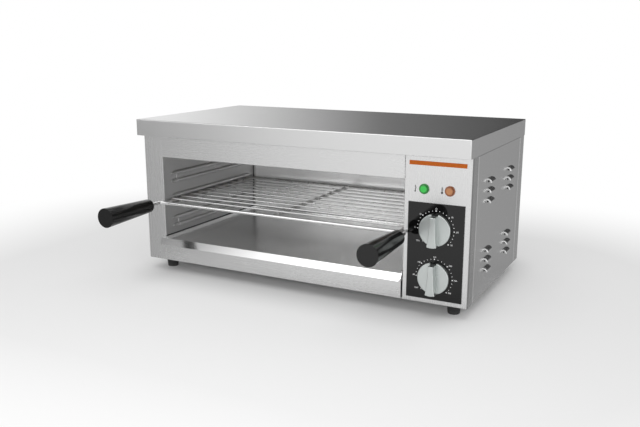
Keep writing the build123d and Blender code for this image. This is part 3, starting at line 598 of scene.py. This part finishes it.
# Painted shadow: the top of the tray's rims is darkened nearly black, where they meet the chamber walls in
# shade.
rim_top = place.part(2).rise(tray_top - rim_start, tray_top - rim_end)
grain = hairlines(place, across_body)
stain = place.noise(14.0, detail=4.0)
clean = inside.tint(grey(0.9), grey(0.88))
stained = (inside * (stain - 0.3) * 0.3).tint(clean, grey(0.7))
feed(tray_shader, {
    "Base Color": rim_top.tint(stained, grey(0.04)),
    "Metallic": 1 - inside * 0.12,
    "Roughness": 0.15 + inside * (0.07 + stain.swing(0.14)) + grain.swing(0.05),
    "Normal": (grain * inside).relief(depth=0.0001, strength=0.12),
})
dress(tray, "crumb_tray")

# Wire rack
# Bright rod frame with ten thin cross wires spot-welded on its side rods, and a middle rod under them.
# The front bar bends forward at both ends into the grips; the welds are dark little nuggets.

rod, rod_shader, place = new_finish("bright_rod", {"Metallic": 0.85})
wire_low, wire_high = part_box("rack_wires")
front_bar_y, first_wire_y, rod_inset = -0.086, -0.074, 0.002
scorch_inner, scorch_outer = 0.002, 0.012
drawn_marks = place.noise(500.0, detail=3.0)
worn = place.noise(30.0, detail=3.0)
rack_middle, rod_reach = (wire_low.x + wire_high.x) / 2, (wire_high.x - wire_low.x) / 2 - rod_inset
from_rods = abs(abs(place.part(0) - rack_middle) - rod_reach)
behind_bar = place.part(1).rise(front_bar_y, first_wire_y)
scorch = from_rods.fall(scorch_inner, scorch_outer) * behind_bar * (0.2 + worn * 0.4)
feed(rod_shader, {
    "Base Color": scorch.tint(behind_bar.tint(grey(0.66), grey(0.6)), colour(0.20, 0.17, 0.15)),
    "Roughness": 0.18 + behind_bar * 0.1 + worn.swing(0.12) + scorch * 0.2,
    "Normal": drawn_marks.relief(depth=0.0001, strength=0.08),
})
dress(rod, "rack_frame", "rack_wires", "rack_middle_rod")


def grid_faces(patches, rows, columns):
    """Four-cornered faces between the neighbours of a grid, for each patch of points in turn."""
    index = np.arange(patches * rows * columns).reshape(patches, rows, columns)
    corners = [index[:, :-1, :-1], index[:, :-1, 1:], index[:, 1:, 1:], index[:, 1:, :-1]]
    return np.stack(corners, -1).reshape(-1, 4)


def nuggets(centres, across, along, up):
    """Flattened balls about the welds: a sphere's grid of turn and height, with three half widths."""
    turns, rises = 11, 7
    turn, rise = np.linspace(0, 2 * pi, turns), np.linspace(-pi / 2, pi / 2, rises)
    ball = np.stack([np.outer(np.cos(rise), np.cos(turn)), np.outer(np.cos(rise), np.sin(turn)),
                     np.outer(np.sin(rise), np.ones_like(turn))], -1)
    return np.asarray(centres)[:, None, None] + ball * (across, along, up)


weld, weld_shader, place = new_finish("weld_metal", {"Metallic": 1.0})
bubbled = place.noise(1600.0, detail=3.0)
feed(weld_shader, {
    "Base Color": bubbled.tint(colour(0.12, 0.105, 0.095), colour(0.46, 0.43, 0.40)),
    "Roughness": 0.3 + bubbled * 0.3,
    "Normal": bubbled.relief(depth=0.0003, strength=0.4),
})
rod_low, rod_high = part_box("rack_middle_rod")
wire_radius, wire_count, weld_inset, weld_lift = 0.0015, 10, 0.0005, 0.0004
weld_ys = np.linspace(wire_low.y + wire_radius, wire_high.y - wire_radius, wire_count)
weld_xs = np.array([wire_low.x + weld_inset, (rod_low.x + rod_high.x) / 2, wire_high.x - weld_inset])
weld_spots = np.stack([*(spot.ravel() for spot in np.meshgrid(weld_xs, weld_ys)),
                       np.full(len(weld_xs) * wire_count, wire_low.z + weld_lift)], 1)
weld_balls = nuggets(weld_spots, across=0.0014, along=0.0018, up=0.0011)
rack_welds = new_piece("rack_welds", weld_balls.reshape(-1, 3), grid_faces(*weld_balls.shape[:3]), weld)
rack_welds.data.polygons.foreach_set("use_smooth", np.ones(len(rack_welds.data.polygons), bool))
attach(rack_welds, "rack")

# Grips
# Tapered handles of black phenolic pushed over the rod ends, wider towards the hand.
# Semi-gloss from the mould, with faint lengthwise flow lines.

phenolic, phenolic_shader, place = new_finish("grip_phenolic", {"IOR": 1.4})
grip_length = 1
flow = brush_marks(place, grip_length, 260.0, 9.0, detail=3.0)
skin = place.noise(1200.0)
feed(phenolic_shader, {
    "Base Color": flow.tint(grey(0.004), grey(0.010)),
    "Roughness": 0.16 + flow.swing(0.16) + skin.swing(0.06),
    "Normal": (flow * 0.5 + skin * 0.5).relief(depth=0.0001, strength=0.1),
})
dress(phenolic, "left_grip", "right_grip")

# Knobs and shafts
# Two moulded control knobs in silver satin, each pressed on a flatted shaft from its switch.
# A flared finger ridge crosses the disc, and a notch at its narrow end shows the setting.

silver, silver_shader, place = new_finish("knob_silver", {"Metallic": 0.9})
cloud = place.noise(40.0, detail=3.0)
skin = place.noise(1400.0)
feed(silver_shader, {
    "Base Color": cloud.tint(colour(0.53, 0.56, 0.55), colour(0.59, 0.62, 0.61)),
    "Roughness": 0.3 + cloud.swing(0.1) + skin.swing(0.1),
    "Normal": skin.relief(depth=0.00006, strength=0.2, edge=0.0006),
})
dress(silver, "timer_knob", "thermostat_knob")
dress(zinc, "timer_shaft", "thermostat_shaft")

# Studio
# A plain pale floor that fades to white away from the object, under one broad soft lamp and a low front one.
# A round cloth screen far out gives the steel lamps and darker sides to reflect; the camera doesn't see it.

scene = bpy.context.scene
scene.view_settings.view_transform = "Standard"


def stage_grid(name, points, finish):
    """A part of the set from one grid of points."""
    made = new_piece(name, points.reshape(-1, 3), grid_faces(1, *points.shape[:2]), finish)
    return made


def ray_kinds(tree):
    """Which rays arrive: mirrored ones, and all that see the set, 0 for light that falls on a surface."""
    path = tree.nodes.new("ShaderNodeLightPath")
    camera, glossy, through = (Signal(tree, path.outputs[name])
                               for name in ("Is Camera Ray", "Is Glossy Ray", "Is Transmission Ray"))
    return {"mirrored": glossy, "seen": (camera + glossy + through).at_most(1.0)}


floor_paint, floor_shader, place = new_finish("floor_paint", {
    "Roughness": 0.9, "Specular IOR Level": 0.0, "Base Color": grey(0.66)})
shadow_side, shadow_front, body_middle_y, body_reach = 0.25, 0.12, 0.065, 0.155
lift_reach, lift = 0.1, 0.35
white_from, white_at, mirrored_reach = 0.05, 0.75, 0.12
tree = floor_paint.node_tree
rays = ray_kinds(tree)
beside = (abs(place.part(0)) - shadow_side).at_least(0.0)
behind = (abs(place.part(1)) - shadow_front).at_least(0.0)
clear_of_body = (abs(place.part(1) - body_middle_y) - body_reach).at_least(0.0)
off = (beside * beside + behind * behind) ** 0.5
near = (beside * beside + clear_of_body * clear_of_body) ** 0.5
# Painted light: away from the body the floor is partly mixed with white glow where seen directly, not in
# reflections, which lightens its shadow; right beside the body it stays dark.
lifted = (rays["seen"] - rays["mirrored"]) * near.rise(0.0, lift_reach) * lift
fade = (off.rise(white_from, white_at) * rays["seen"]).at_least(lifted)
white = tree.nodes.new("ShaderNodeEmission")
clear = tree.nodes.new("ShaderNodeBsdfTransparent")
faded, cut = tree.nodes.new("ShaderNodeMixShader"), tree.nodes.new("ShaderNodeMixShader")
tree.links.new(fade.socket, faded.inputs[0])
tree.links.new(floor_shader.outputs[0], faded.inputs[1])
tree.links.new(white.outputs[0], faded.inputs[2])
tree.links.new((off.rise(0.0, mirrored_reach) * rays["mirrored"]).socket, cut.inputs[0])
tree.links.new(faded.outputs[0], cut.inputs[1])
tree.links.new(clear.outputs[0], cut.inputs[2])
tree.links.new(cut.outputs[0], tree.nodes["Material Output"].inputs["Surface"])
floor_radius, floor_rings, floor_spokes = 8.0, 17, 49
spoke, turn = np.meshgrid(np.linspace(0.0, floor_radius, floor_rings), np.linspace(0, 2 * pi, floor_spokes),
                          indexing="ij")
floor_points = np.stack([spoke * np.cos(turn), spoke * np.sin(turn), np.zeros_like(turn)], -1)
stage_grid("floor", floor_points, floor_paint)

screen_cloth = bpy.data.materials.new("screen_cloth")
screen_cloth.use_nodes = True
tree = screen_cloth.node_tree
place = Signal(tree, tree.nodes.new("ShaderNodeTexCoord").outputs["Object"])
# A bearing is a share of a turn from the back, with the left at 0.25 and the front at 0.5; climb is metres.
bearing = place.maths("ARCTAN2", place.part(0), 0 - place.part(1)) / (2 * pi) + 0.5
climb = place.part(2)
tones = [(0.0, 0.20), (0.036, 0.12), (0.06, 0.19), (0.09, 0.62), (0.12, 1.0), (0.30, 0.45), (0.385, 0.40),
         (0.40, 0.65), (0.42, 0.90), (0.435, 1.0), (0.60, 1.0), (0.75, 0.6), (0.93, 0.40), (1.0, 0.24)]


def patch(sides, heights):
    """A soft-edged patch of the screen: a hump across its bearings times a hump up its heights."""
    return bearing.hump(*sides) * climb.hump(*heights)


high_start, high_end = 1.8, 2.3
high = climb.rise(high_start, high_end)
low_lamp = patch(sides=(0.33, 0.40, 0.42, 0.46), heights=(0.35, 0.7, high_start, high_end))
high_lamp = bearing.hump(0.332, 0.385, 0.53, 0.58) * high
mouth_lamp = patch(sides=(0.47, 0.50, 0.62, 0.65), heights=(0.15, 0.3, 0.6, 0.85))
side_lamp = patch(sides=(0.64, 0.67, 0.78, 0.81), heights=(-0.3, 0.1, 0.6, 1.0))
front_gap = patch(sides=(0.44, 0.48, 0.66, 0.70), heights=(0.65, 0.95, 1.8, 2.2))
left_low = bearing.hump(0.05, 0.10, 0.30, 0.36) * climb.fall(0.1, 0.3)
high_back = ((bearing.rise(0.90, 0.93) + bearing.fall(0.01, 0.04)) * climb.rise(0.15, 0.35)).at_most(1.0)
cap = climb.rise(2.7, 3.1)
skirt = climb.fall(-1.2, -0.85)
cloth = place.node("ShaderNodeValToRGB", {"stops": tones}, {0: bearing})
skirt_shade, high_shade = 0.26, 0.7
tone = cloth * (1 - skirt * skirt_shade) * (1 - high * high_shade)
for lamp, strength in ((low_lamp, 1.9), (high_lamp, 1.5), (mouth_lamp, 1.6), (side_lamp, 1.2)):
    tone = tone + lamp * strength
for shade, depth in ((front_gap, 0.5), (left_low, 0.45), (high_back, 0.8), (cap, 0.2)):
    tone = tone * (1 - shade * depth)
glow = tree.nodes.new("ShaderNodeEmission")
tree.links.new(tone.socket, glow.inputs["Strength"])
tree.links.new(glow.outputs[0], tree.nodes["Material Output"].inputs["Surface"])
tree.nodes.remove(tree.nodes["Principled BSDF"])
screen_radius, screen_foot, screen_top, screen_turns, screen_rises = 3.6, radians(-36), radians(90), 121, 19
turn, rise = np.meshgrid(np.linspace(0, 2 * pi, screen_turns),
                         np.linspace(screen_foot, screen_top, screen_rises), indexing="ij")
outward = np.stack([np.cos(rise) * np.sin(turn), -np.cos(rise) * np.cos(turn), np.sin(rise)], -1)
screen = stage_grid("screen", screen_radius * outward, screen_cloth)
screen.visible_camera = screen.visible_diffuse = screen.visible_shadow = screen.visible_transmission = False

air = bpy.data.worlds.new("studio_air")
scene.world = air
air.use_nodes = True
level = 0.6
strength = level + ray_kinds(air.node_tree)["seen"] * (1 - level)
air.node_tree.nodes["Background"].inputs["Color"].default_value = grey(1.0)
air.node_tree.links.new(strength.socket, air.node_tree.nodes["Background"].inputs["Strength"])


def area_lamp(name, width, depth, watts, at, turned):
    """A flat lamp that shines down before it is turned, in degrees."""
    light = bpy.data.lights.new(name, "AREA")
    light.shape, light.size, light.size_y, light.energy = "RECTANGLE", width, depth, watts
    lamp = bpy.data.objects.new(name, light)
    lamp.location, lamp.rotation_euler = at, [radians(angle) for angle in turned]
    scene.collection.objects.link(lamp)
    return lamp


area_lamp("overhead_light", width=2.2, depth=2.2, watts=24.0, at=(0.2, -0.7, 2.2), turned=(-16, 5, 0))
fill = area_lamp("fill_light", width=0.8, depth=0.5, watts=7.5, at=(0.25, -1.25, 0.4), turned=(76, 0, 14))
fill.visible_glossy = fill.visible_camera = False

# Camera
# Standing to the right in front of the object, a little above it, as the photograph was taken.

looking_down, looking_round = 13.02, 27.84
lens = bpy.data.cameras.new("camera")
lens.lens, lens.sensor_width, lens.clip_start = 42.376, 36.0, 0.05
camera = bpy.data.objects.new("camera", lens)
camera.location = (0.607434, -1.137289, 0.414855)
camera.rotation_euler = (radians(90 - looking_down), 0, radians(looking_round))
scene.collection.objects.link(camera)
scene.camera = camera
